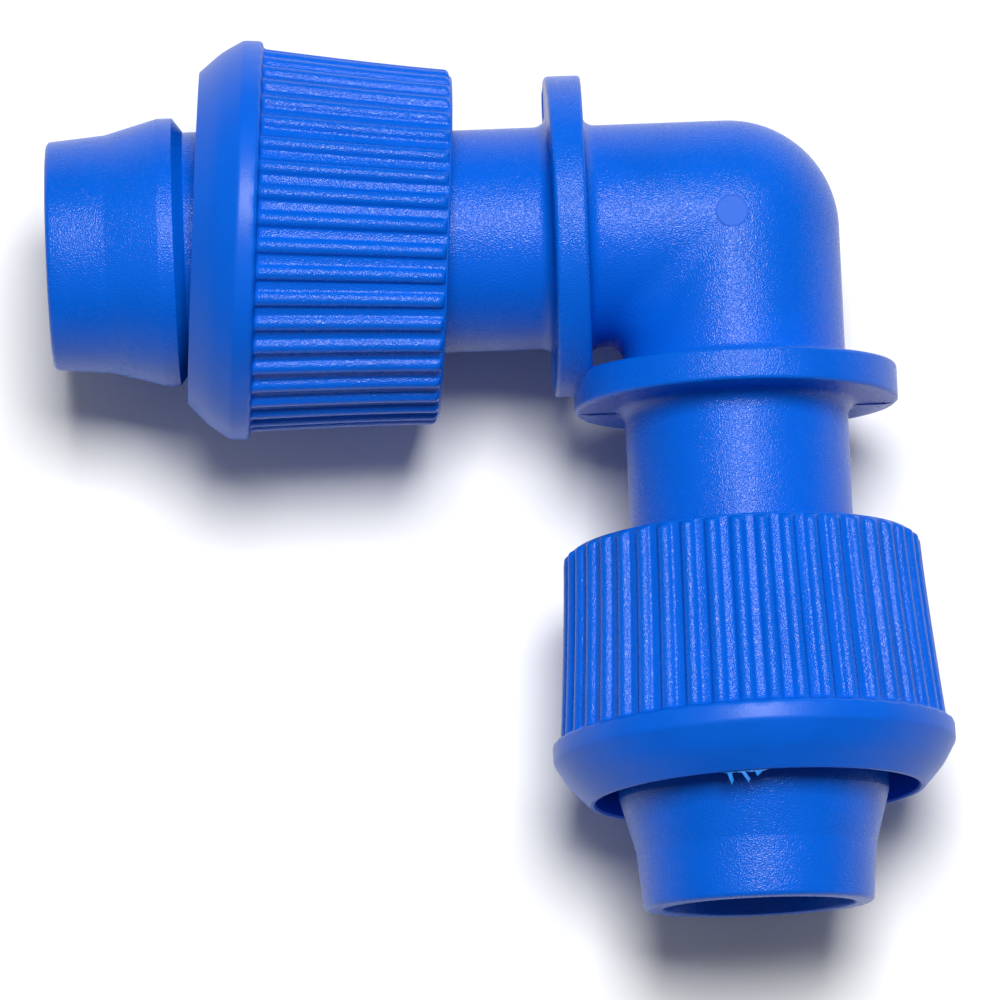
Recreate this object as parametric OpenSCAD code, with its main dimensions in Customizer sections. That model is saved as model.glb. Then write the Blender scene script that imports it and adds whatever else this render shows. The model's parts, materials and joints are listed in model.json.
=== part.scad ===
// Ring-nut elbow for polyethylene pipe: a quarter-bend body with two barbed ends,
// and a ribbed ring nut round each neck that clamps the pipe on its barb.
// Millimetres. The two port axes cross at the origin; one arm runs along -X and the
// other along -Y, and +Z is up when the elbow lies flat.

/* [Body tube] */
// Outside diameter of the bend and of the tube between flange and nut
tube_d = 23.6; // [22.6:0.1:24.4]
// Diameter of the water way
bore_d = 20; // [18:0.1:21]
// Distance from the crossing of the axes to the end face of a barb
arm_len = 72; // [70:0.1:76]
// Diameter of the neck that carries the thread and the barb
neck_d = 25.3; // [24.6:0.1:25.6]

/* [Flange] */
// Outside diameter of the flange disc
flange_d = 34.3; // [31:0.1:36]
// Distance from the crossing of the axes to the flange's inner face
flange_start = 15.4; // [15:0.1:17]
// Thickness of the flange disc
flange_w = 3.4; // [2.4:0.1:4]
// Radius of the fillet between the flange and the tube
flange_fillet = 1.6; // [0.8:0.1:2]
// Radius of the flange's rounded rim
flange_edge = 0.5; // [0.2:0.1:1]

/* [Barb] */
// Diameter of the barb at its end face
barb_tip_d = 24.2; // [23.8:0.1:24.6]
// Diameter where the lead-in ends and the flare begins
barb_lead_d = 25.3; // [24.8:0.1:25.6]
// Diameter of the sharp crest that seals in the pipe
barb_crest_d = 28.4; // [27.6:0.1:28.6]
// Length of the lead-in from the end face
barb_lead_len = 6.2; // [4:0.1:8]
// Length of the flare
barb_flare_len = 5.6; // [4:0.1:8]
// Length of the crest's cylindrical land
barb_land_len = 1.6; // [1:0.1:2]
// Length of the chamfer behind the crest
barb_back_len = 1.1; // [0.6:0.1:2]
// Rounding of the end face's outer edge
barb_tip_r = 0.6; // [0.2:0.1:0.6]

/* [Thread] */
// Distance from the crossing of the axes to the start of the male thread
thread_start = 35; // [34:0.5:37]
// Number of thread crests on the body
male_turns = 4; // [2:1:4]
// Distance between thread crests
thread_pitch = 4; // [3:0.5:4]
// Crest diameter of the male thread
male_crest_d = 29; // [27:0.1:29.2]
// Axial width of a thread crest
crest_w = 1.2; // [0.8:0.1:1.4]
// Radial play between the male and the female crests, which lets a loose nut lean
thread_gap = 0.8; // [0.7:0.05:1]
// Depth of the female thread
female_depth = 1; // [0.6:0.1:1.2]
// Number of thread grooves in the nut
female_turns = 3; // [1:1:3]

/* [Ring nut] */
// Overall length of the nut
nut_len = 26.7; // [26:0.1:28]
// Length of the ribbed barrel
barrel_len = 20; // [19:0.1:21]
// Diameter across the rib crests at the rear end
barrel_rear_d = 37.7; // [37.4:0.1:38.4]
// Diameter across the rib crests where they meet the collar
barrel_front_d = 40.7; // [39:0.1:41.4]
// Height of the ribs above the grooves between them
rib_h = 0.6; // [0.3:0.1:0.9]
// Number of ribs round the nut
rib_count = 44; // [24:2:60]
// Share of the pitch that a rib takes up
rib_share = 0.65; // [0.4:0.05:0.8]
// Largest diameter of the collar
collar_d = 42.3; // [41.6:0.1:44]
// Length of the collar's cylindrical crest band
collar_band = 2.1; // [1:0.1:3]
// Outside diameter of the thin lip at the mouth
lip_d = 35.2; // [34.8:0.1:36]
// Inside diameter of the mouth, where the pipe goes in
mouth_d = 33.6; // [32.6:0.1:34]
// Distance from the mouth to the clamping cone
mouth_depth = 5.5; // [4:0.1:6]
// Length of the clamping cone
clamp_len = 6; // [4:0.5:7]

/* [Nut positions] */
// Distance from the crossing of the axes to the left nut's rear face
left_nut_at = 30.1; // [20.5:0.1:37]
// Distance from the crossing of the axes to the lower nut's rear face
lower_nut_at = 33.8; // [20.5:0.1:37]
// How far the loose left nut leans in the plane of the arms, in degrees
left_lean_in = 4; // [0:0.5:4]
// How far the left nut leans up out of that plane, in degrees
left_lean_up = 1.5; // [0:0.5:2]
// How far the loose lower nut leans in the plane of the arms, in degrees
lower_lean_in = 1; // [0:0.5:3]
// How far the lower nut leans up out of that plane, in degrees
lower_lean_up = 3; // [0:0.5:3]

/* [Hidden] */
$fn = 96;

tube_r = tube_d / 2;
bore_r = bore_d / 2;
neck_r = neck_d / 2;
neck_start = thread_start - 1.5;
crest_end = arm_len - barb_lead_len - barb_flare_len;
land_start = crest_end - barb_land_len;
back_start = land_start - barb_back_len;
female_crest_r = male_crest_d / 2 + thread_gap;
inside_r = female_crest_r - 1;
clamp_start = nut_len - mouth_depth - clamp_len;
first_groove = 1.7;
lean_pivot = 8;
overlap = 0.5;
past_end = 1;
neck_ramp = 0.6;
flank_slope = 0.35;
barrel_flare = 1.25;
barrel_steps = [0, 0.35 * barrel_len, 0.7 * barrel_len, barrel_len];
cone_bulge = 0.4;
nut_edge = 0.4;
body_blue = [0.08, 0.2, 0.72];
nut_blue = [0.06, 0.17, 0.68];

// A ring about the arm axis from an outline of [radius, distance along the arm].
module turned(outline) {
    rotate_extrude() polygon(outline);
}

// Everything along one arm, drawn up +Z from the crossing of the axes.
module arm_skin() {
    cylinder(r = tube_r, h = neck_start);
    translate([0, 0, neck_start - neck_ramp])
        cylinder(r1 = tube_r, r2 = neck_r, h = neck_ramp);
    translate([0, 0, neck_start])
        cylinder(r = neck_r, h = back_start - neck_start);
    flange();
    male_thread();
    barb();
}

// Disc flange with a rounded rim and a fillet on both sides.
module flange() {
    rim = flange_d / 2;
    fillet_end = tube_r + flange_fillet;
    low = flange_start;
    high = flange_start + flange_w;
    root = tube_r - overlap;
    rotate_extrude() difference() {
        union() {
            translate([root, low]) square([rim - flange_edge - root, flange_w]);
            translate([root, low + flange_edge]) square([rim - root, flange_w - 2 * flange_edge]);
            for (z = [low + flange_edge, high - flange_edge])
                translate([rim - flange_edge, z]) circle(r = flange_edge);
            translate([root, low - flange_fillet])
                square([fillet_end - root, flange_w + 2 * flange_fillet]);
        }
        for (z = [low - flange_fillet, high + flange_fillet])
            translate([fillet_end, z]) circle(r = flange_fillet);
    }
}

// Thread crests, simplified to rings that the nut's own crests clear with play all round.
module male_thread() {
    foot = crest_w / 2 + (male_crest_d / 2 - neck_r) * flank_slope;
    for (i = [0:male_turns - 1]) {
        mid = thread_start + foot + i * thread_pitch;
        turned([
            [neck_r - overlap, mid - foot],
            [neck_r, mid - foot],
            [male_crest_d / 2, mid - crest_w / 2],
            [male_crest_d / 2, mid + crest_w / 2],
            [neck_r, mid + foot],
            [neck_r - overlap, mid + foot]
        ]);
    }
}

// Barb: chamfer, sharp land, flare and tapered lead-in with a rounded end.
module barb() {
    tip_r = barb_tip_d / 2;
    turned([
        [0, back_start],
        [neck_r, back_start],
        [barb_crest_d / 2, land_start],
        [barb_crest_d / 2, crest_end],
        [barb_lead_d / 2, crest_end + barb_flare_len],
        [tip_r, arm_len - barb_tip_r],
        [tip_r - barb_tip_r, arm_len],
        [0, arm_len]
    ]);
}

// Quarter of a ball that joins two crossing tubes of the same radius.
module corner(radius) {
    rotate_extrude(angle = 90) intersection() {
        circle(r = radius);
        translate([0, -radius]) square([radius, 2 * radius]);
    }
}

module left_arm() {
    rotate([0, -90, 0]) children();
}

module lower_arm() {
    rotate([90, 0, 0]) children();
}

module elbow_body() color(body_blue) difference() {
    union() {
        left_arm() arm_skin();
        lower_arm() arm_skin();
        corner(tube_r);
    }
    left_arm() cylinder(r = bore_r, h = arm_len + past_end);
    lower_arm() cylinder(r = bore_r, h = arm_len + past_end);
    corner(bore_r);
}

// Radius of the rib crests at a distance along the barrel: it flares towards the collar.
function crest_r(s) = barrel_rear_d / 2
    + (barrel_front_d - barrel_rear_d) / 2 * pow(s / barrel_len, barrel_flare);

// Outer skin of the nut's barrel and collar, without ribs.
module nut_skin() {
    collar_r = collar_d / 2;
    cone_start = barrel_len + collar_band;
    turned(concat(
        [[inside_r, 0], [crest_r(0) - rib_h - nut_edge, 0]],
        [for (s = barrel_steps) [crest_r(s) - rib_h, max(s, nut_edge)]],
        [
            [collar_r - nut_edge, barrel_len],
            [collar_r, barrel_len + nut_edge],
            [collar_r, cone_start],
            [(collar_r + lip_d / 2) / 2 + cone_bulge, (cone_start + nut_len) / 2],
            [lip_d / 2, nut_len - nut_edge],
            [lip_d / 2 - nut_edge, nut_len],
            [inside_r, nut_len]
        ]
    ));
}

// One grip rib, as a sector of a turned ring.
module rib() {
    arc = 360 / rib_count * rib_share;
    crest = [for (s = barrel_steps) [crest_r(s), s == 0 ? 2 * nut_edge : s]];
    root = [for (s = barrel_steps) [crest_r(s) - rib_h - overlap, s == 0 ? nut_edge : s]];
    rotate([0, 0, -arc / 2]) rotate_extrude(angle = arc)
        polygon(concat([[crest_r(0) - nut_edge, nut_edge]], crest,
            [for (i = [len(root) - 1:-1:0]) root[i]]));
}

// Space inside the nut: thread grooves, clamping cone and mouth.
module nut_bore() {
    translate([0, 0, -past_end]) cylinder(r = female_crest_r, h = nut_len + 2 * past_end);
    slope = female_depth * flank_slope;
    for (i = [0:female_turns - 1]) {
        low = first_groove + i * thread_pitch;
        high = low + thread_pitch - crest_w;
        turned([
            [inside_r, low],
            [female_crest_r, low],
            [female_crest_r + female_depth, low + slope],
            [female_crest_r + female_depth, high - slope],
            [female_crest_r, high],
            [inside_r, high]
        ]);
    }
    turned([
        [inside_r, clamp_start],
        [female_crest_r, clamp_start],
        [mouth_d / 2, clamp_start + clamp_len],
        [mouth_d / 2, nut_len + past_end],
        [inside_r, nut_len + past_end]
    ]);
}

module ring_nut() color(nut_blue) difference() {
    union() {
        nut_skin();
        for (i = [0:rib_count - 1])
            rotate([0, 0, (i + 0.5) * 360 / rib_count]) rib();
    }
    nut_bore();
}

// Turns a nut about a point on its axis near the middle of its thread.
module leaning(angles) {
    translate([0, 0, lean_pivot]) rotate(angles) translate([0, 0, -lean_pivot]) children();
}

module ring_nut_left() left_arm() translate([0, 0, left_nut_at])
    leaning([-left_lean_in, left_lean_up, 0]) ring_nut();

module ring_nut_lower() lower_arm() translate([0, 0, lower_nut_at])
    leaning([-lower_lean_up, lower_lean_in, 0]) ring_nut();

elbow_body();
ring_nut_left();
ring_nut_lower();
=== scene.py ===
import json
import math

import bmesh
import bpy
import numpy as np
from mathutils import Euler, Matrix, Vector


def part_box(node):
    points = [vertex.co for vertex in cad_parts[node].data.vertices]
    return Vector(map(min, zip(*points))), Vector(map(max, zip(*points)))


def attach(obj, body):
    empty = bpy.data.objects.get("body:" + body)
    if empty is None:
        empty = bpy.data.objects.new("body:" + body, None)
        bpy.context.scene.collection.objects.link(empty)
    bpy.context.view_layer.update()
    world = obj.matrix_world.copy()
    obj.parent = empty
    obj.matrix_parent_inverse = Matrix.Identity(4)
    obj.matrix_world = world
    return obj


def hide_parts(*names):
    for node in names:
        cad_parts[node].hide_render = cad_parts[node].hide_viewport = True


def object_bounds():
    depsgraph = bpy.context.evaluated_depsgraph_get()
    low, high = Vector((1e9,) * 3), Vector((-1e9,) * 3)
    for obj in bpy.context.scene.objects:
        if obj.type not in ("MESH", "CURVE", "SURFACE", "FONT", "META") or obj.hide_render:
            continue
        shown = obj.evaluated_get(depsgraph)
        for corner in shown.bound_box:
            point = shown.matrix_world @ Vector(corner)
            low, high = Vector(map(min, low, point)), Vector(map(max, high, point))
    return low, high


# Ring-nut elbow for polyethylene pipe: the moulded elbow and its two ring nuts, as clean meshes
# with moulded-plastic materials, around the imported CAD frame. Metres; the axes of the two arms
# cross at the origin, one arm runs along -X and the other along -Y, and +Z is up.

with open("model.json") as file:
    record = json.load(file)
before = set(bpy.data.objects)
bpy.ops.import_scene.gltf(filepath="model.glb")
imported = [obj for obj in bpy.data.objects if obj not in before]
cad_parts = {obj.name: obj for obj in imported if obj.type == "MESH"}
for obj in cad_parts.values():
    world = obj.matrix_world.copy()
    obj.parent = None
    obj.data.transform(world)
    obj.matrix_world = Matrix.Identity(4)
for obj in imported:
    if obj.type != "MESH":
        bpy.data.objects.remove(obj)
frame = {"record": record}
cad_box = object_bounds()

MM = 0.001
mounts = {mount["name"]: mount for mount in frame["record"]["mounts"]}
water_way = mounts["water_way_left"]
pipe_barb = mounts["pipe_barb_left"]

# Elbow, from the frame: "along" is the distance from the crossing of the axes to a barb's end.
ARM_LEN = -water_way["pos_m"][0]
BORE_R = water_way["dims"]["r_mm"] * MM
BARB_R = pipe_barb["dims"]["r_mm"] * MM
LAND_LEN = pipe_barb["dims"]["length_mm"] * MM
LAND_START = -pipe_barb["pos_m"][0] - LAND_LEN / 2
LAND_END = LAND_START + LAND_LEN
FLANGE_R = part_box("elbow_body")[1].z

# Elbow, shape of one arm.
TUBE_R = 11.8 * MM
NECK_R = 12.65 * MM
NECK_START = 33.5 * MM
NECK_RAMP = 0.6 * MM
FLANGE_START = 15.4 * MM
FLANGE_W = 3.4 * MM
FLANGE_FILLET = 1.6 * MM
FLANGE_EDGE = 0.45 * MM
NECK_EDGE = 0.4 * MM
CROTCH_FILLET = 1.6 * MM
BORE_CROTCH = 0.5 * MM
CROWN_SPREAD = 0.5
BARB_BACK = 1.1 * MM
BARB_EDGE = 0.2 * MM
BARB_BACK_EDGE = 0.12 * MM
FLARE_LEN = 5.6 * MM
FLARE_ROUND = 1.5 * MM
LEAD_R = 12.65 * MM
TIP_R = 12.1 * MM
TIP_EDGE = 0.6 * MM
BORE_EDGE = 0.3 * MM

# Thread: a rounded ridge on the neck, and a groove between two crests inside the nut.
THREAD_START = 35 * MM
THREAD_TURNS = 3.6
PITCH = 4 * MM
RIDGE_H = 1.85 * MM
RIDGE_CREST = 1.2 * MM
RIDGE_FLANK = 0.7 * MM
RIDGE_FADE = 0.15
FEMALE_R = 15.3 * MM
GROOVE_DEPTH = 1 * MM

# Where the two mould halves meet, at z = 0: a fine groove, a lower half that is smaller all round by
# the insets, and a lower half of each flange whose outward face stands proud of the upper half's.
# Each flange face slopes by the draft, so that the flange is thickest at the parting plane.
FLANGE_DRAFT = 0.3 * MM
PARTING_GROOVE = 0.22 * MM
PARTING_INSET = 0.04 * MM
RIM_INSET = 0.2 * MM
PARTING_STEP = 0.17 * MM
PARTING_WIDTH = 0.1 * MM

# Round prints of the mould's ejector pins: the bend's own, and one on each neck beside the barb.
BEND_PIN_R = 1.7 * MM
BEND_PIN_AT = -0.1 * MM
BEND_PIN_RISE = 0.03 * MM
NECK_PIN_R = 1.4 * MM
NECK_PIN_DEPTH = 0.03 * MM
PIN_RING_W = 0.1 * MM
PIN_RING_H = 0.04 * MM
PIN_RING_FOOT = 0.03 * MM

# Ring nut: "along" is the distance from its rear face.
NUT_LEN = 26.7 * MM
BARREL_LEN = 20 * MM
BARREL_REAR_R = 18.85 * MM
BARREL_FRONT_R = 20.35 * MM
BARREL_FLARE = 1.25
RIB_H = 0.65 * MM
RIB_COUNT = 44
RIB_SHARE = 0.65
RIB_FLANK = 0.45 * MM
RIB_CREST_ROUND = 0.77 * MM
RIB_FOOT_ROUND = 0.35 * MM
RIB_NOSE = 0.6 * MM
RIB_END_FILLET = 0.45 * MM
RIB_END_RISE = 0.3
COLLAR_R = 21.15 * MM
COLLAR_BAND = 2.1 * MM
COLLAR_EDGE = 0.5 * MM
CREST_ROUND = 1.0 * MM
CONE_BULGE = 0.4 * MM
CONE_ROUND = 7 * MM
LIP_EDGE = 0.2 * MM
LIP_R = 17.6 * MM
MOUTH_R = 17.0 * MM
INNER_ROUND = 0.8 * MM
REAR_CHAMFER = 0.6 * MM
REAR_ROUND = 0.1 * MM
CLAMP_START = 15.2 * MM
CLAMP_END = 21.2 * MM
NUT_EDGE = 0.25 * MM

# Flash left on the lower nut's lip: (degrees round, width, length, how far the tip leans sideways).
FLASH_T = 0.12 * MM
FLASH_ROOT = 0.3 * MM
FLASH_RAGGED = 0.3
FLASH_WAVE = 0.35 * MM
FLASH_SAG = 0.25
FLASH_STRANDS = (
    (97.5, 7.5 * MM, 0.16 * MM, 0),
    (102.7, 0.5 * MM, 1.1 * MM, -0.35 * MM),
    (98.5, 0.4 * MM, 1.05 * MM, -0.85 * MM),
    (92.5, 0.9 * MM, 0.5 * MM, -0.1 * MM),
)

# Places of the loose nuts on the arms: distance from the crossing and lean, as in the CAD.
LEAN_PIVOT = 8 * MM
LEFT_ARM = Euler((0, math.radians(-90), 0)).to_matrix().to_4x4()
LOWER_ARM = Euler((math.radians(90), 0, 0)).to_matrix().to_4x4()
LEFT_NUT_AT = 30.1 * MM
LOWER_NUT_AT = 33.8 * MM
LEFT_LEAN = (-4, 1.5)
LOWER_LEAN = (-3, 1)

# Colours, and the mould's grain as (size, height).
BLUE = (0.0006, 0.101, 0.60)
FLASH_BLUE = (0.005, 0.19, 0.66)
SPARK_GRAIN = (0.15 * MM, 0.055 * MM)
SATIN_GRAIN = (0.3 * MM, 0.008 * MM)
PIN_GRAIN = (0.2 * MM, 0.015 * MM)
FLASH_GRAIN = (0.3 * MM, 0.01 * MM)

# Camera: turns in degrees, and the point that it looks at as an offset from the middle of the part.
CAMERA_TURNS = (8.63, -1.06, -2.18)
CAMERA_LENS = 253.1
CAMERA_DISTANCE = 742 * MM
CAMERA_AIM = Vector((-0.1, -3.05, 0.1)) * MM

# Mesh fineness.
BODY_ROWS = 144
PATCH_STEPS = 10
RIB_STEPS = 4
INNER_SHARE = 4
FLASH_ACROSS = 24
FLASH_STEPS = 6
THREAD_STEP = 0.25 * MM
LONG_STEP = 1.5 * MM
WELD = 1e-6


def smooth(x):
    """0 below 0, 1 above 1, and an even S between them."""
    x = np.clip(x, 0, 1)
    return x * x * (3 - 2 * x)


def rounded(corners, quarter_steps=6):
    """An outline through (along, radius, rounding) corners, each rounded corner turned into an arc."""
    outline = []
    for i, (along, radius, rounding) in enumerate(corners):
        here = Vector((along, radius))
        if rounding == 0 or i in (0, len(corners) - 1):
            outline.append(here)
            continue
        back = (Vector(corners[i - 1][:2]) - here).normalized()
        ahead = (Vector(corners[i + 1][:2]) - here).normalized()
        half = back.angle(ahead) / 2
        centre = here + (back + ahead).normalized() * rounding / math.sin(half)
        first = here + back * rounding / math.tan(half) - centre
        last = here + ahead * rounding / math.tan(half) - centre
        steps = max(2, math.ceil(first.angle(last) / (math.pi / 2) * quarter_steps))
        turn = first.angle_signed(last) / steps
        for k in range(steps + 1):
            turned = Matrix.Rotation(-turn * k, 2) @ first
            outline.append(centre + turned)
    return np.array(outline)


def spaced(outline, step):
    """The same outline with points added where two are further apart than step(along)."""
    points = [outline[0]]
    for a, b in zip(outline[:-1], outline[1:]):
        count = math.ceil(np.linalg.norm(b - a) / step((a[0] + b[0]) / 2) - 1e-6)
        points += [a + (b - a) * k / count for k in range(1, count + 1)]
    return np.array(points)


def outline_normals(outline):
    """Unit normals of an outline, to the left of its direction."""
    step = np.gradient(outline, axis=0)
    normal = np.stack([-step[:, 1], step[:, 0]], axis=1)
    return normal / np.linalg.norm(normal, axis=1, keepdims=True)


def sheet_faces(rows, columns, first=0):
    """Quads of a sheet whose rows close on themselves; row i, column j is point i * columns + j."""
    faces = []
    for i in range(rows):
        here = first + i * columns
        ahead = first + (i + 1) % rows * columns
        faces += [(here + j, ahead + j, ahead + j + 1, here + j + 1) for j in range(columns - 1)]
    return faces


def smooth_mesh(mesh, sharp_degrees=38):
    """Smooth shading with real edges kept sharp."""
    mesh.shade_smooth()
    mesh.set_sharp_from_angle(angle=math.radians(sharp_degrees))


def new_object(name, points, faces):
    """A mesh object in the scene from points and faces."""
    mesh = bpy.data.meshes.new(name)
    mesh.from_pydata([tuple(p) for p in points], [], faces)
    obj = bpy.data.objects.new(name, mesh)
    bpy.context.scene.collection.objects.link(obj)
    return obj


def face_outwards(mesh, weld=False):
    """Turns every face of a closed mesh outwards, and first welds points that coincide if asked to."""
    shape = bmesh.new()
    shape.from_mesh(mesh)
    if weld:
        bmesh.ops.remove_doubles(shape, verts=shape.verts, dist=WELD)
    bmesh.ops.recalc_face_normals(shape, faces=shape.faces)
    shape.to_mesh(mesh)
    shape.free()


def thread_ridge(along, angle):
    """Height from 0 to 1 of a right-handed ridge, at a distance along the arm and an angle round it."""
    turn = angle / math.tau % 1
    place = (along - THREAD_START) / PITCH - turn
    lap = np.round(place - 0.5)
    off = np.abs(place - lap - 0.5) * PITCH
    ridge = smooth((RIDGE_CREST / 2 + RIDGE_FLANK - off) / RIDGE_FLANK)
    run_in = smooth((lap + turn) / RIDGE_FADE)
    run_out = smooth((THREAD_TURNS - lap - turn) / RIDGE_FADE)
    return ridge * run_in * run_out


# --- Elbow body ---


def arm_outline():
    """Outline of one arm from the crossing out to the barb's end face and back along the bore."""
    flange_end = FLANGE_START + FLANGE_W
    corners = [
        (0, TUBE_R, 0),
        (FLANGE_START, TUBE_R, FLANGE_FILLET),
        (FLANGE_START, FLANGE_R, FLANGE_EDGE),
        (flange_end, FLANGE_R, FLANGE_EDGE),
        (flange_end, TUBE_R, FLANGE_FILLET),
        (NECK_START - NECK_RAMP, TUBE_R, NECK_EDGE),
        (NECK_START, NECK_R, NECK_EDGE),
        (LAND_START - BARB_BACK, NECK_R, BARB_EDGE),
        (LAND_START, BARB_R, BARB_BACK_EDGE),
        (LAND_END, BARB_R, BARB_EDGE),
        (LAND_END + FLARE_LEN, LEAD_R, FLARE_ROUND),
        (ARM_LEN, TIP_R, TIP_EDGE),
        (ARM_LEN, BORE_R, BORE_EDGE),
        (0, BORE_R, 0),
    ]

    def step(along):
        return THREAD_STEP if THREAD_START - MM < along < LAND_START - BARB_BACK else LONG_STEP

    outline = rounded(corners)
    tip = int(np.argmax(outline[:, 0] >= ARM_LEN - WELD))
    outer = spaced(outline[: tip + 1], step)
    bore = spaced(outline[tip:], lambda along: 2 * LONG_STEP)
    return np.concatenate([outer, bore[1:]])


def row_angles():
    """Angles round an arm, with a close pair of rows on each side of the mould's parting plane."""
    close = PARTING_WIDTH / TUBE_R
    even = np.arange(BODY_ROWS) * math.tau / BODY_ROWS
    beside = [side + offset for side in (0, math.pi) for offset in (-close, close)]
    return np.sort(np.concatenate([even, np.array(beside) % math.tau]))


def mould_offset(angle, rim):
    """How deep the skin lies under its ideal place: a groove at z = 0, and a smaller lower half."""
    inset = np.where(rim, RIM_INSET, PARTING_INSET)
    at_plane = abs(math.sin(angle)) < 1e-6
    lower = math.sin(angle) < -1e-6
    return np.where(at_plane, PARTING_GROOVE + inset, inset if lower else 0)


def corner_patch(angle, radius, fillet, steps):
    """Half of the bend for one row: from the plane x = y to the end of the left arm's straight skin."""
    across = math.cos(angle)
    if abs(across) < 1e-6:
        across = 0.0
    t = np.linspace(0, 1, steps + 1)
    if across >= 0:
        swing = (1 - t) * math.pi / 4
        flat = radius * across
        height = np.full_like(t, radius * math.sin(angle))
        return np.stack([flat * np.sin(swing), flat * np.cos(swing), height], axis=1)
    fillet += CROWN_SPREAD * radius * math.sin(angle) ** 2
    centre = (radius + fillet) * np.array([across, across, math.sin(angle)])
    to_arm = np.array([0, -across, -math.sin(angle)])
    to_other = np.array([-across, 0, -math.sin(angle)])
    middle = (to_arm + to_other) / np.linalg.norm(to_arm + to_other)
    sweep = math.acos(min(1, float(middle @ to_arm)))
    weight = np.stack([np.sin((1 - t) * sweep), np.sin(t * sweep)], axis=1) / max(math.sin(sweep), 1e-9)
    return centre + fillet * (weight[:, :1] * middle + weight[:, 1:] * to_arm)


def half_elbow():
    """Points of the half of the elbow on the left arm's side, row by row."""
    outline = arm_outline()
    normals = outline_normals(outline)
    reach = FLANGE_START - FLANGE_FILLET
    turned_back = int(np.argmax(outline[:, 0]))
    is_outer = np.arange(len(outline)) <= turned_back
    on_rim = outline[:, 1] > FLANGE_R - FLANGE_EDGE * 2
    beyond_flange = FLANGE_START + FLANGE_W + FLANGE_FILLET
    face_share = smooth((outline[:, 1] - TUBE_R) / FLANGE_FILLET) * (outline[:, 0] < beyond_flange)
    is_front = outline[:, 0] > FLANGE_START + FLANGE_W / 2
    rows = []
    for angle in row_angles():
        offset = mould_offset(angle, on_rim) * is_outer
        skin = outline - normals * offset[:, None]
        draft = FLANGE_DRAFT * (1 - abs(math.sin(angle)) * outline[:, 1] / FLANGE_R)
        skin[:, 0] += face_share * draft * np.where(is_front, 1, -1)
        if math.sin(angle) < -WELD:
            skin[:, 0] += face_share * PARTING_STEP * is_front
        inward = max(0.0, -math.cos(angle))
        crown = 1 + CROWN_SPREAD * math.sin(angle) ** 2
        starts = np.where(is_outer, TUBE_R * crown + CROTCH_FILLET, BORE_R * crown + BORE_CROTCH) * inward
        near = outline[:, 0] < reach
        along = np.where(near, starts + (reach - starts) * outline[:, 0] / reach, skin[:, 0])
        arm = np.stack([-along, skin[:, 1] * math.cos(angle), skin[:, 1] * math.sin(angle)], axis=1)
        sunk = float(mould_offset(angle, np.array(False)))
        outer = corner_patch(angle, TUBE_R - sunk, CROTCH_FILLET + sunk, PATCH_STEPS)
        bore = corner_patch(angle, BORE_R, BORE_CROTCH, PATCH_STEPS)
        rows.append(np.concatenate([outer, arm[1:-1], bore[::-1]]))
    return np.array(rows)


def cut_threads(mesh):
    """Raises the right-handed ridge on both necks."""
    points = np.zeros(len(mesh.vertices) * 3)
    mesh.vertices.foreach_get("co", points)
    points = points.reshape(-1, 3)
    for out, first, second in (((-1, 0, 0), (0, 1, 0), (0, 0, -1)), ((0, -1, 0), (0, 0, 1), (-1, 0, 0))):
        out, first, second = np.array(out), np.array(first), np.array(second)
        along, a, b = points @ out, points @ first, points @ second
        radius = np.hypot(a, b)
        on_neck = (along > NECK_START) & (along < LAND_START - BARB_BACK) & (abs(radius - NECK_R) < 0.5 * MM)
        lift = thread_ridge(along, np.arctan2(b, a)) * RIDGE_H * on_neck
        radial = (np.outer(a, first) + np.outer(b, second)) / np.maximum(radius, WELD)[:, None]
        points = points + radial * lift[:, None]
    mesh.vertices.foreach_set("co", points.ravel())
    mesh.update()


def pin_mark(name, radius, flat_at, place):
    """The round print of an ejector pin: a flat face inside a low ring of flash, to be joined to the skin."""
    outline = [
        (0, flat_at),
        (radius - PIN_RING_W - PIN_RING_H, flat_at),
        (radius - PIN_RING_W, flat_at + PIN_RING_H),
        (radius, flat_at + PIN_RING_H),
        (radius + PIN_RING_FOOT, flat_at - PIN_RING_H),
        (radius + PIN_RING_FOOT, flat_at - MM),
        (0, flat_at - MM),
    ]
    around = np.arange(64) * math.tau / 64
    points = [
        (place[0] + r * math.cos(a), place[1] + r * math.sin(a), z) for a in around for r, z in outline
    ]
    mark = new_object(name, points, sheet_faces(len(around), len(outline)))
    face_outwards(mark.data, weld=True)
    return mark


def join_solids(target, extras):
    """Joins small solids to the target with an exact boolean, and removes them."""
    for extra in extras:
        modifier = target.modifiers.new("join", "BOOLEAN")
        modifier.operation = "UNION"
        modifier.solver = "EXACT"
        modifier.material_mode = "TRANSFER"
        modifier.object = extra
    bpy.context.view_layer.update()
    joined = bpy.data.meshes.new_from_object(target.evaluated_get(bpy.context.evaluated_depsgraph_get()))
    target.modifiers.clear()
    old = target.data
    target.data = joined
    bpy.data.meshes.remove(old)
    for extra in extras:
        bpy.data.objects.remove(extra)


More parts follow.
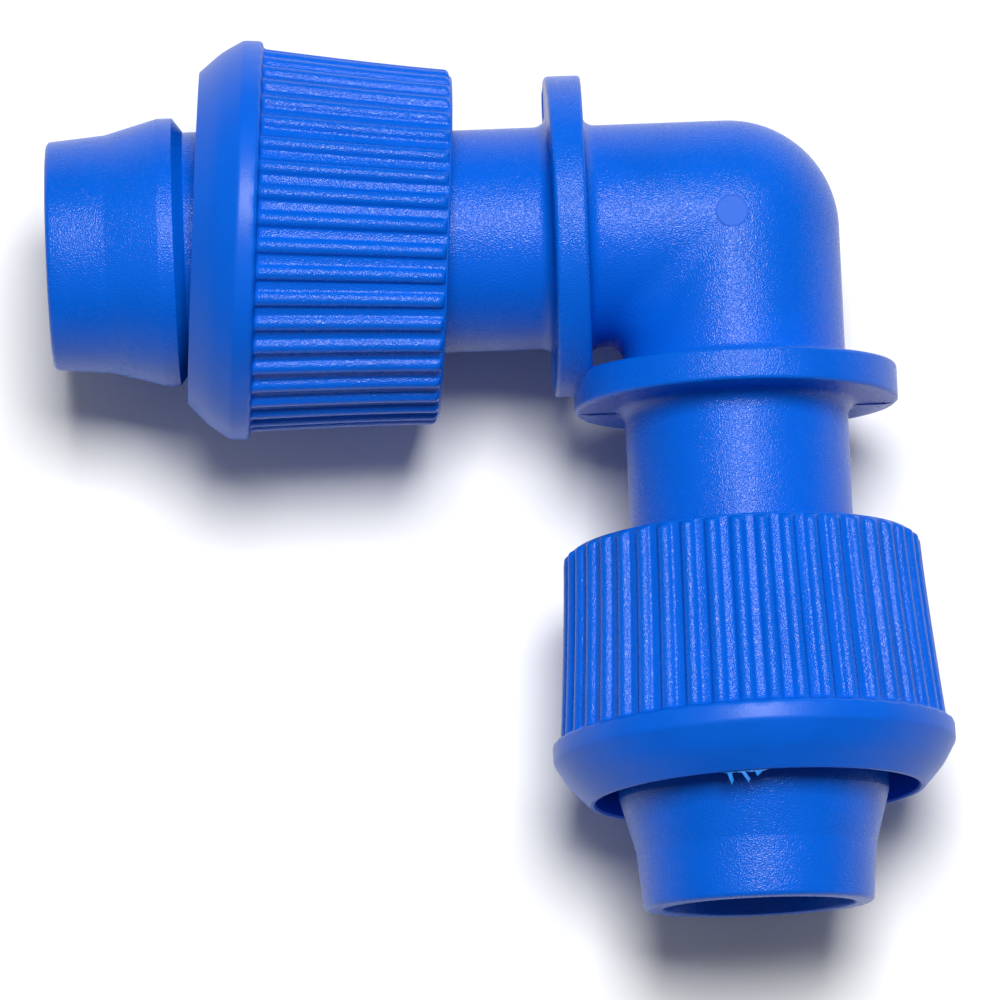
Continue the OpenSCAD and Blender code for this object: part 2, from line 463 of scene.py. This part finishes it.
def elbow_body(material, mark_material):
    """The moulded elbow: half of it cut at the plane x = y, mirrored, threaded and marked."""
    rows = half_elbow()
    body = new_object("moulded_elbow", rows.reshape(-1, 3), sheet_faces(rows.shape[0], rows.shape[1]))
    shape = bmesh.new()
    shape.from_mesh(body.data)
    geometry = list(shape.verts) + list(shape.edges) + list(shape.faces)
    bmesh.ops.bisect_plane(
        shape, geom=geometry, dist=1e-7, plane_co=(0, 0, 0), plane_no=(1, -1, 0), clear_outer=True
    )
    copied = bmesh.ops.duplicate(shape, geom=list(shape.verts) + list(shape.edges) + list(shape.faces))
    fresh = [item for item in copied["geom"] if isinstance(item, bmesh.types.BMVert)]
    for vertex in fresh:
        vertex.co = Vector((vertex.co.y, vertex.co.x, vertex.co.z))
    bmesh.ops.remove_doubles(shape, verts=shape.verts, dist=WELD)
    bmesh.ops.recalc_face_normals(shape, faces=shape.faces)
    shape.to_mesh(body.data)
    shape.free()
    cut_threads(body.data)
    along = LAND_START - BARB_BACK - NECK_PIN_R
    marks = [
        pin_mark("bend_pin", BEND_PIN_R, TUBE_R + BEND_PIN_RISE, (BEND_PIN_AT, 0)),
        pin_mark("left_pin", NECK_PIN_R, NECK_R - NECK_PIN_DEPTH, (-along, 0)),
        pin_mark("lower_pin", NECK_PIN_R, NECK_R - NECK_PIN_DEPTH, (0, -along)),
    ]
    body.data.materials.append(material)
    for mark in marks:
        mark.data.materials.append(mark_material)
    join_solids(body, marks)
    smooth_mesh(body.data)
    return body


# --- Ring nuts ---


def rib_rows():
    """Angles round the nut, and for each the rib's height there from 0 to 1."""
    pitch = math.tau * BARREL_REAR_R / RIB_COUNT
    foot = pitch * RIB_SHARE / 2
    section = rounded([
        (-pitch / 2, 0, 0),
        (-foot, 0, RIB_FOOT_ROUND),
        (-foot + RIB_FLANK, RIB_H, RIB_CREST_ROUND),
        (foot - RIB_FLANK, RIB_H, RIB_CREST_ROUND),
        (foot, 0, RIB_FOOT_ROUND),
        (pitch / 2, 0, 0),
    ], RIB_STEPS)[1:]
    shares = section[:, 0] / pitch
    angles = np.concatenate([(shares + rib + 0.5) * math.tau / RIB_COUNT for rib in range(RIB_COUNT)])
    return angles, np.tile(section[:, 1] / RIB_H, RIB_COUNT)


def barrel_r(along):
    """Radius of the groove floor along the barrel, which flares towards the collar."""
    flare = np.clip(along / BARREL_LEN, 0, 1) ** BARREL_FLARE
    return BARREL_REAR_R - RIB_H + (BARREL_FRONT_R - BARREL_REAR_R) * flare


def nut_outside():
    """Columns of the nut's outside as (along, floor radius, rib share, collar share)."""
    quarter = np.linspace(0, math.pi / 2, 5)
    columns = []
    rear = barrel_r(0)
    for a in quarter:
        columns.append((NUT_EDGE * (1 - math.cos(a)), rear - NUT_EDGE + NUT_EDGE * math.sin(a), 0, 0))
    for a in np.linspace(0, math.pi / 2, 7)[1:]:
        along = NUT_EDGE + RIB_NOSE * (1 - math.cos(a))
        columns.append((along, barrel_r(along), math.sin(a), 0))
    for along in np.linspace(NUT_EDGE + RIB_NOSE, BARREL_LEN - RIB_END_FILLET, 13)[1:]:
        columns.append((along, barrel_r(along), 1, 0))
    for a in quarter[1:]:
        along = BARREL_LEN - RIB_END_FILLET + RIB_END_FILLET * math.sin(a)
        columns.append((along, barrel_r(along), 1, RIB_END_RISE * (1 - math.cos(a))))
    for a in quarter[1:]:
        rise = RIB_END_RISE + (1 - RIB_END_RISE) * math.sin(a)
        columns.append((BARREL_LEN + COLLAR_EDGE * (1 - math.cos(a)), barrel_r(BARREL_LEN), 1, rise))
    cone_start = BARREL_LEN + COLLAR_BAND
    cone_mid = ((cone_start + NUT_LEN) / 2, (COLLAR_R + LIP_R) / 2 + CONE_BULGE)
    collar = rounded([
        (BARREL_LEN + COLLAR_EDGE, COLLAR_R, 0),
        (cone_start, COLLAR_R, CREST_ROUND),
        (*cone_mid, CONE_ROUND),
        (NUT_LEN, LIP_R, LIP_EDGE),
        (NUT_LEN, MOUTH_R + LIP_EDGE, 0),
    ], 10)
    columns += [(along, radius, 0, 0) for along, radius in spaced(collar, lambda along: 0.7 * MM)[1:]]
    return columns


def nut_inside():
    """Outline of the nut's inside, from the mouth back to the rear face."""
    corners = [
        (NUT_LEN - LIP_EDGE, MOUTH_R, 0),
        (CLAMP_END, MOUTH_R, INNER_ROUND),
        (CLAMP_START, FEMALE_R, INNER_ROUND),
        (REAR_CHAMFER, FEMALE_R, REAR_ROUND),
        (0, FEMALE_R + REAR_CHAMFER, 0),
    ]
    return spaced(rounded(corners), lambda along: THREAD_STEP if along < CLAMP_START else LONG_STEP)


def female_groove(along, angle):
    """Depth from 0 to 1 of the thread groove inside the nut, between crests that narrow to a land."""
    place = along / PITCH - angle / math.tau
    off = np.abs(place - np.round(place)) * PITCH
    groove = smooth((PITCH / 2 - RIDGE_CREST / 2 - off) / RIDGE_FLANK)
    return groove * smooth((along - MM) / MM) * smooth((CLAMP_START - MM - along) / MM)


def ring_nut(name, place, materials):
    """One nut, built about its own axis and then placed on its arm."""
    angles, heights = rib_rows()
    outside = np.array(nut_outside())
    along, floor, rib, collar = outside.T
    ribbed = floor + RIB_H * heights[:, None] * rib
    radius = ribbed + (COLLAR_R - ribbed) * collar
    outer = np.stack([
        radius * np.cos(angles)[:, None],
        radius * np.sin(angles)[:, None],
        np.broadcast_to(along, radius.shape),
    ], axis=2)
    inner_angles = angles[::INNER_SHARE]
    inside = nut_inside()
    inner_r = inside[:, 1] + GROOVE_DEPTH * female_groove(inside[:, 0], inner_angles[:, None])
    inner = np.stack([
        inner_r * np.cos(inner_angles)[:, None],
        inner_r * np.sin(inner_angles)[:, None],
        np.broadcast_to(inside[:, 0], inner_r.shape),
    ], axis=2)
    rows, columns = radius.shape
    inner_rows, inner_columns = inner_r.shape
    first_inner = rows * columns
    faces = sheet_faces(rows, columns) + sheet_faces(inner_rows, inner_columns, first_inner)
    for i in range(inner_rows):
        here = first_inner + i * inner_columns
        ahead = first_inner + (i + 1) % inner_rows * inner_columns
        span = [(i * INNER_SHARE + k) % rows * columns for k in range(INNER_SHARE + 1)]
        faces.append([start + columns - 1 for start in span] + [ahead, here])
        faces.append(span[::-1] + [here + inner_columns - 1, ahead + inner_columns - 1])
    points = np.concatenate([outer.reshape(-1, 3), inner.reshape(-1, 3)])
    nut = new_object(name, points, faces)
    face_outwards(nut.data)
    for material in materials:
        nut.data.materials.append(material)
    grip_start = int(np.argmax(rib > 0))
    grip_end = int(np.argmax(collar > 0)) - 1
    for index in range(rows * (columns - 1)):
        if grip_start <= index % (columns - 1) < grip_end:
            nut.data.polygons[index].material_index = 1
    nut.data.transform(place)
    smooth_mesh(nut.data)
    return nut


def mould_flash(name, place, strands, material):
    """Thin strands of flash on a nut's lip, each a closed flat ring of points swept to a narrower tip."""
    points, faces = [], []
    across = np.linspace(-0.5, 0.5, FLASH_ACROSS)
    ring = 2 * FLASH_ACROSS
    for degrees, width, length, sideways in strands:
        first = len(points)
        ragged = 1 + FLASH_RAGGED * np.sin(across * width / FLASH_WAVE)
        for v in np.linspace(0, 1, FLASH_STEPS):
            angle = math.radians(degrees) + (across * width * (1 - 0.5 * v) + sideways * v) / MOUTH_R
            out = NUT_LEN - FLASH_ROOT + (length * ragged + FLASH_ROOT) * v
            inner = MOUTH_R + FLASH_T - FLASH_SAG * length * v * v
            for radius, order in ((inner, 1), (inner + FLASH_T, -1)):
                sheet = np.stack([radius * np.cos(angle), radius * np.sin(angle), out], axis=1)
                points += list(sheet[::order])
        for i in range(FLASH_STEPS - 1):
            here = first + i * ring
            faces += [
                (here + j, here + (j + 1) % ring, here + ring + (j + 1) % ring, here + ring + j)
                for j in range(ring)
            ]
        for start in (first, first + (FLASH_STEPS - 1) * ring):
            faces += [
                (start + j, start + j + 1, start + ring - 2 - j, start + ring - 1 - j)
                for j in range(FLASH_ACROSS - 1)
            ]
    flash = new_object(name, points, faces)
    face_outwards(flash.data)
    flash.data.materials.append(material)
    flash.data.transform(place)
    smooth_mesh(flash.data)
    return flash


def nut_place(arm, distance, lean):
    """Where a nut sits: out along its arm, and leaning about a point on its axis."""
    tilt = Euler((math.radians(lean[0]), math.radians(lean[1]), 0)).to_matrix().to_4x4()
    out = Matrix.Translation((0, 0, distance + LEAN_PIVOT))
    return arm @ out @ tilt @ Matrix.Translation((0, 0, -LEAN_PIVOT))


# --- Materials ---


def add_node(tree, kind, **sockets):
    """A shader node with values set on its sockets, an underscore standing for a space."""
    node = tree.nodes.new(kind)
    for socket, value in sockets.items():
        node.inputs[socket.replace("_", " ")].default_value = value
    return node


def moulded_plastic(name, color, roughness, grain):
    """Coloured polypropylene: cloudy tone, uneven gloss, and the mould's grain as (size, height)."""
    grain_size, grain_height = grain
    material = bpy.data.materials.new(name)
    material.use_nodes = True
    tree = material.node_tree
    shader = tree.nodes["Principled BSDF"]
    shader.inputs["Specular IOR Level"].default_value = 0.2
    place = tree.nodes.new("ShaderNodeTexCoord")

    cloud = add_node(tree, "ShaderNodeTexNoise", Scale=90, Detail=3, Roughness=0.6)
    tone = tree.nodes.new("ShaderNodeValToRGB")
    tone.color_ramp.elements[0].position = 0.3
    tone.color_ramp.elements[0].color = (*[c * 0.93 for c in color], 1)
    tone.color_ramp.elements[1].position = 0.7
    tone.color_ramp.elements[1].color = (*[c * 1.05 for c in color], 1)
    tree.links.new(place.outputs["Object"], cloud.inputs["Vector"])
    tree.links.new(cloud.outputs["Fac"], tone.inputs["Fac"])
    tree.links.new(tone.outputs["Color"], shader.inputs["Base Color"])

    gloss = add_node(tree, "ShaderNodeMapRange", To_Min=roughness - 0.04, To_Max=roughness + 0.05)
    tree.links.new(cloud.outputs["Fac"], gloss.inputs["Value"])
    tree.links.new(gloss.outputs["Result"], shader.inputs["Roughness"])

    bumps = add_node(tree, "ShaderNodeTexNoise", Scale=1 / grain_size, Detail=0)
    bump = add_node(tree, "ShaderNodeBump", Strength=1, Distance=grain_height)
    tree.links.new(place.outputs["Object"], bumps.inputs["Vector"])
    tree.links.new(bumps.outputs["Fac"], bump.inputs["Height"])
    tree.links.new(bump.outputs["Normal"], shader.inputs["Normal"])
    return material


def floor_material():
    """Matt white paper with a very slight unevenness."""
    material = bpy.data.materials.new("white_paper")
    material.use_nodes = True
    tree = material.node_tree
    shader = tree.nodes["Principled BSDF"]
    shader.inputs["Roughness"].default_value = 0.9
    shader.inputs["Specular IOR Level"].default_value = 0.1
    place = tree.nodes.new("ShaderNodeTexCoord")
    fibre = add_node(tree, "ShaderNodeTexNoise", Scale=40, Detail=2)
    tone = tree.nodes.new("ShaderNodeValToRGB")
    tone.color_ramp.elements[0].color = (0.86, 0.86, 0.86, 1)
    tone.color_ramp.elements[1].color = (0.88, 0.88, 0.88, 1)
    tree.links.new(place.outputs["Object"], fibre.inputs["Vector"])
    tree.links.new(fibre.outputs["Fac"], tone.inputs["Fac"])
    tree.links.new(tone.outputs["Color"], shader.inputs["Base Color"])
    return material


# --- Studio ---


def add_floor():
    """A plain floor under the part."""
    half = 2.0
    height = cad_box[0].z
    corners = [(-half, -half, height), (half, -half, height), (half, half, height), (-half, half, height)]
    floor = new_object("floor", corners, [(0, 1, 2, 3)])
    floor.data.materials.append(floor_material())


def add_softbox(name, target, direction, distance, size, power):
    """A square area light that faces the target from a direction."""
    light = bpy.data.lights.new(name, "AREA")
    light.size = size
    light.energy = power
    lamp = bpy.data.objects.new(name, light)
    toward = Vector(direction).normalized()
    lamp.location = target + toward * distance
    lamp.rotation_euler = toward.to_track_quat("Z", "Y").to_euler()
    lamp.visible_camera = False
    bpy.context.scene.collection.objects.link(lamp)


def add_world(strength):
    """An even white surround."""
    world = bpy.data.worlds.new("studio")
    world.use_nodes = True
    background = world.node_tree.nodes["Background"]
    background.inputs["Color"].default_value = (1, 1, 1, 1)
    background.inputs["Strength"].default_value = strength
    bpy.context.scene.world = world


def add_camera(centre):
    """Looks down on the elbow, a little from the lower arm's side."""
    camera = bpy.data.objects.new("camera", bpy.data.cameras.new("camera"))
    camera.data.sensor_width = 36
    camera.data.lens = CAMERA_LENS
    camera.rotation_mode = "ZYX"
    camera.rotation_euler = [math.radians(a) for a in CAMERA_TURNS]
    backwards = camera.rotation_euler.to_matrix() @ Vector((0, 0, 1))
    camera.location = centre + CAMERA_AIM + backwards * CAMERA_DISTANCE
    bpy.context.scene.collection.objects.link(camera)
    bpy.context.scene.camera = camera


centre = (cad_box[0] + cad_box[1]) / 2

body_plastic = moulded_plastic("blue_polypropylene_body", BLUE, 0.26, SPARK_GRAIN)
mark_plastic = moulded_plastic("blue_polypropylene_pin_print", BLUE, 0.5, PIN_GRAIN)
nut_plastic = moulded_plastic("blue_polypropylene_nut", BLUE, 0.36, SATIN_GRAIN)
grip_plastic = moulded_plastic("blue_polypropylene_grip", BLUE, 0.24, SPARK_GRAIN)
flash_plastic = moulded_plastic("blue_polypropylene_flash", FLASH_BLUE, 0.4, FLASH_GRAIN)

body = elbow_body(body_plastic, mark_plastic)
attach(body, "body")
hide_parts("elbow_body")

left_nut_place = nut_place(LEFT_ARM, LEFT_NUT_AT, LEFT_LEAN)
lower_nut_place = nut_place(LOWER_ARM, LOWER_NUT_AT, LOWER_LEAN)
nuts = (
    ("ribbed_nut_left", "nut_left", "ring_nut_left", left_nut_place),
    ("ribbed_nut_lower", "nut_lower", "ring_nut_lower", lower_nut_place),
)
for name, rides_on, node, place in nuts:
    nut = ring_nut(name, place, (nut_plastic, grip_plastic))
    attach(nut, rides_on)
    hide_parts(node)

flash = mould_flash("mould_flash_lower", lower_nut_place, FLASH_STRANDS, flash_plastic)
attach(flash, "nut_lower")

add_floor()
add_world(0.06)
add_softbox("key", centre, direction=(0.06, 0.25, 1), distance=1.2, size=0.44, power=18)
add_softbox("overhead_fill", centre, direction=(0, 0, 1), distance=1.5, size=3.0, power=6)
add_camera(centre)
bpy.context.scene.view_settings.view_transform = "Standard"
